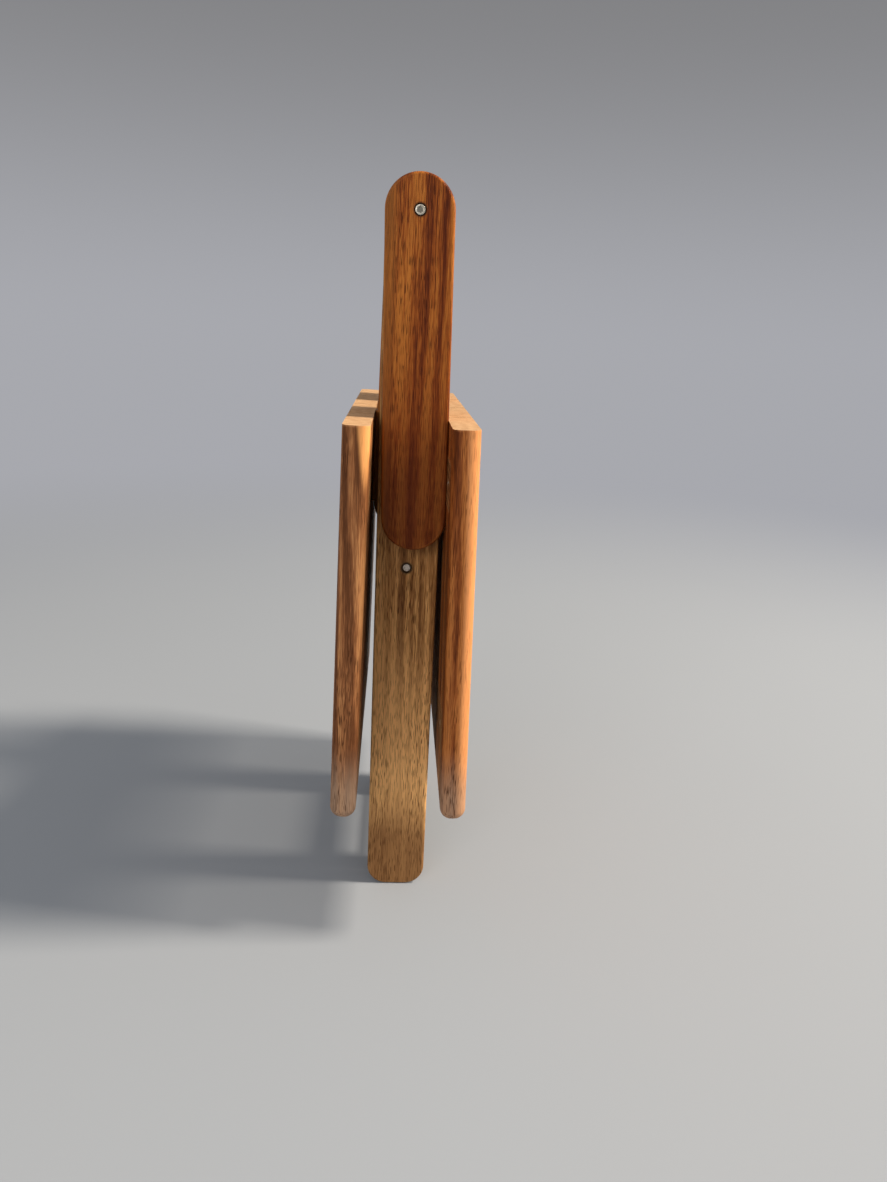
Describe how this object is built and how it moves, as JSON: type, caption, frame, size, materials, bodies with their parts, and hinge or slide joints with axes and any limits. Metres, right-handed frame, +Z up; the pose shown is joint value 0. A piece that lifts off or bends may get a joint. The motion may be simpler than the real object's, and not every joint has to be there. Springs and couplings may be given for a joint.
{
  "type": "folding chair",
  "caption": "Slatted hardwood lounge chair that folds flat: seat and back panels close on crossed legs around one hinge bar.",
  "frame": {"origin": "on the floor under the middle of the folded chair, which stands on its front feet", "axes": "+Z up along the folded boards, +X from the seat panel to the back panel, +Y across the chair to the sitter's right"},
  "size_m": [0.1059, 0.355, 0.585],
  "materials": {
    "acacia_plank": "oiled",
    "acacia_rail": "oiled",
    "acacia_leg": "oiled",
    "acacia_bar": "oiled",
    "steel": "plain",
    "nylon": "moulded"
  },
  "bodies": {
    "front_legs": {"left_front_leg": "acacia_leg", "right_front_leg": "acacia_leg", "hinge_bar": "acacia_bar", "left_hinge_bolt": "steel", "right_hinge_bolt": "steel", "left_leg_pin": "steel", "right_leg_pin": "steel", "left_hinge_spacer": "nylon", "right_hinge_spacer": "nylon", "hinge_washers": "nylon", "pin_washers": "nylon"},
    "seat": {"seat_plank_1": "acacia_plank", "seat_plank_2": "acacia_plank", "seat_plank_3": "acacia_plank", "seat_plank_4": "acacia_plank", "seat_batten_inner": "acacia_plank", "seat_batten_outer": "acacia_plank", "left_seat_rail": "acacia_rail", "right_seat_rail": "acacia_rail", "seat_batten_screws": "steel", "seat_rail_screws": "steel"},
    "back": {"back_plank_1": "acacia_plank", "back_plank_2": "acacia_plank", "back_plank_3": "acacia_plank", "back_plank_4": "acacia_plank", "back_batten_inner": "acacia_plank", "back_batten_outer": "acacia_plank", "left_back_rail": "acacia_rail", "right_back_rail": "acacia_rail", "back_batten_screws": "steel", "back_rail_screws": "steel"},
    "rear_legs": {"left_rear_leg": "acacia_leg", "right_rear_leg": "acacia_leg", "support_bar": "acacia_bar"}
  },
  "joints": [
    {"name": "seat_fold", "type": "hinge", "parent": "front_legs", "child": "seat", "pos_m": [0, 0, 0.56], "axis": [0, 1, 0], "range_deg": [0, 45.1]},
    {"name": "back_fold", "type": "hinge", "parent": "front_legs", "child": "back", "pos_m": [0, 0, 0.56], "axis": [0, -1, 0], "range_deg": [0, 206.1]},
    {"name": "leg_cross", "type": "hinge", "parent": "front_legs", "child": "rear_legs", "pos_m": [0, 0, 0.294], "axis": [0, 1, 0], "range_deg": [0, 92]}
  ],
  "couplings": [
    {"joint": "back_fold", "follows": "seat_fold", "ratio": 4.5698},
    {"joint": "leg_cross", "follows": "seat_fold", "ratio": 2.0399}
  ]
}
